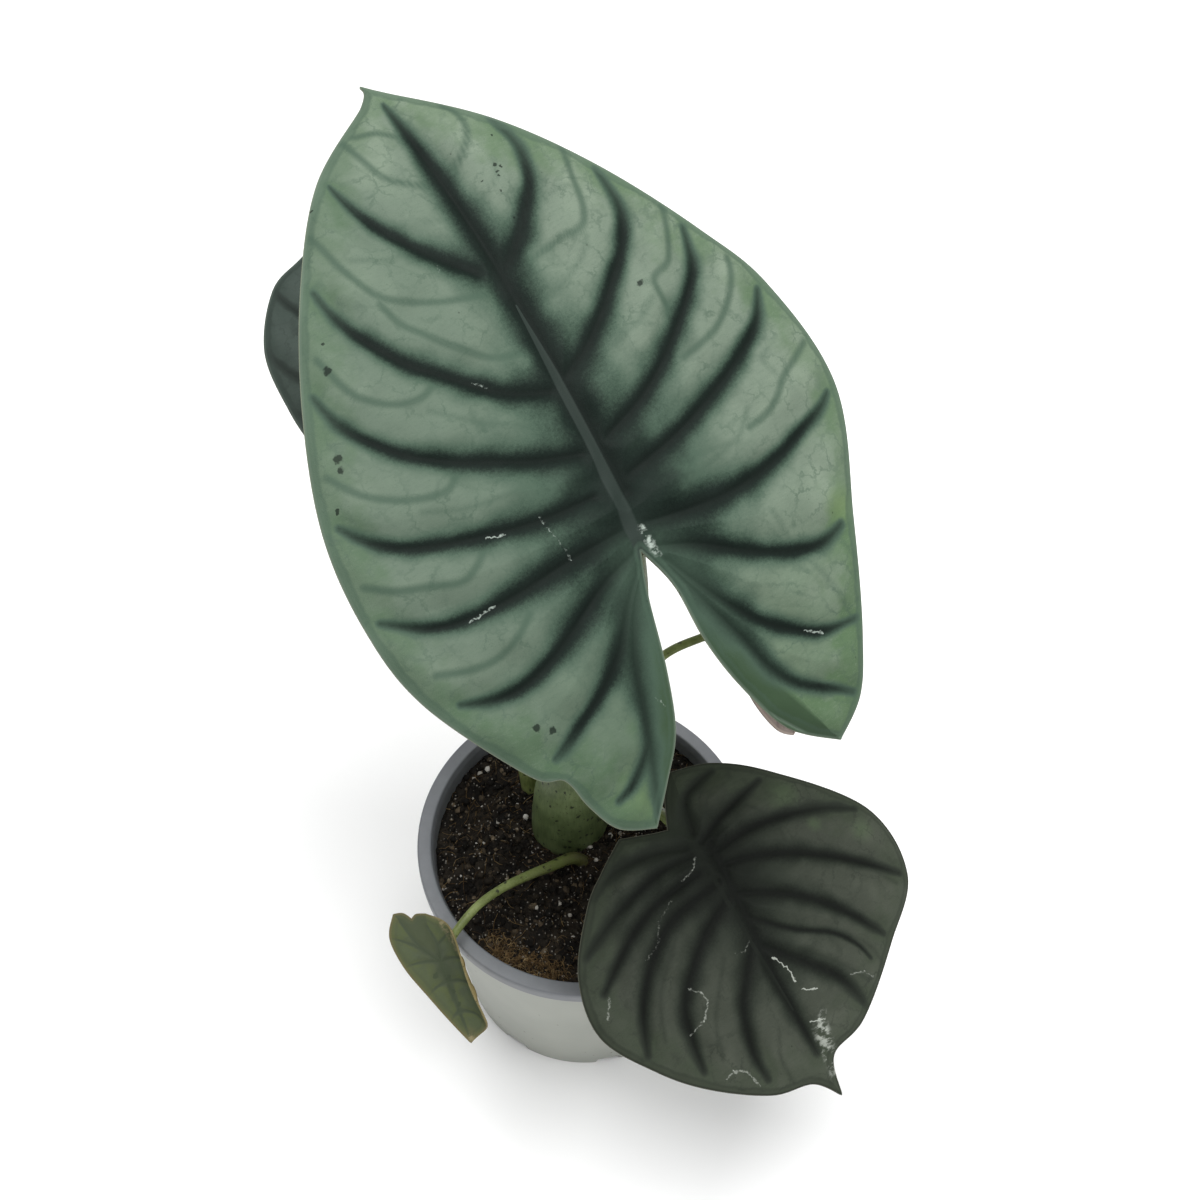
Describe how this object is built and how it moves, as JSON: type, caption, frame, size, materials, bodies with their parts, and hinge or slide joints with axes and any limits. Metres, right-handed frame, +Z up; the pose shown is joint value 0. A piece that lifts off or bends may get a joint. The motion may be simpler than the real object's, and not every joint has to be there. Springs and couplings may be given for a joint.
{
  "type": "potted black diamond alocasia",
  "caption": "Potted aroid house plant: arrow-shaped velvety leaves with dark veins on round stalks, growing from potting mix in a tapered plastic grower's pot.",
  "frame": {"origin": "middle of the pot's base, on the surface it stands on", "axes": "+Z up, -Y towards the side the plant is looked at from"},
  "size_m": [0.2192, 0.268, 0.3344],
  "materials": {
    "pot_plastic": "satin",
    "potting_mix": "matt",
    "petiole_green": "satin",
    "leaf_large": "satin",
    "leaf_dark": "satin",
    "leaf_back": "satin",
    "leaf_young": "satin",
    "leaf_small": "matt"
  },
  "bodies": {
    "root": {"pot": "pot_plastic", "soil": "potting_mix", "stem_and_large_petiole": "petiole_green", "petiole_dark_leaf": "petiole_green", "petiole_small_leaf": "petiole_green", "petiole_back_leaf": "petiole_green", "petiole_young_leaf": "petiole_green", "blade_large": "leaf_large", "blade_dark": "leaf_dark", "blade_back": "leaf_back", "blade_young": "leaf_young", "blade_small": "leaf_small"}
  },
  "joints": []
}
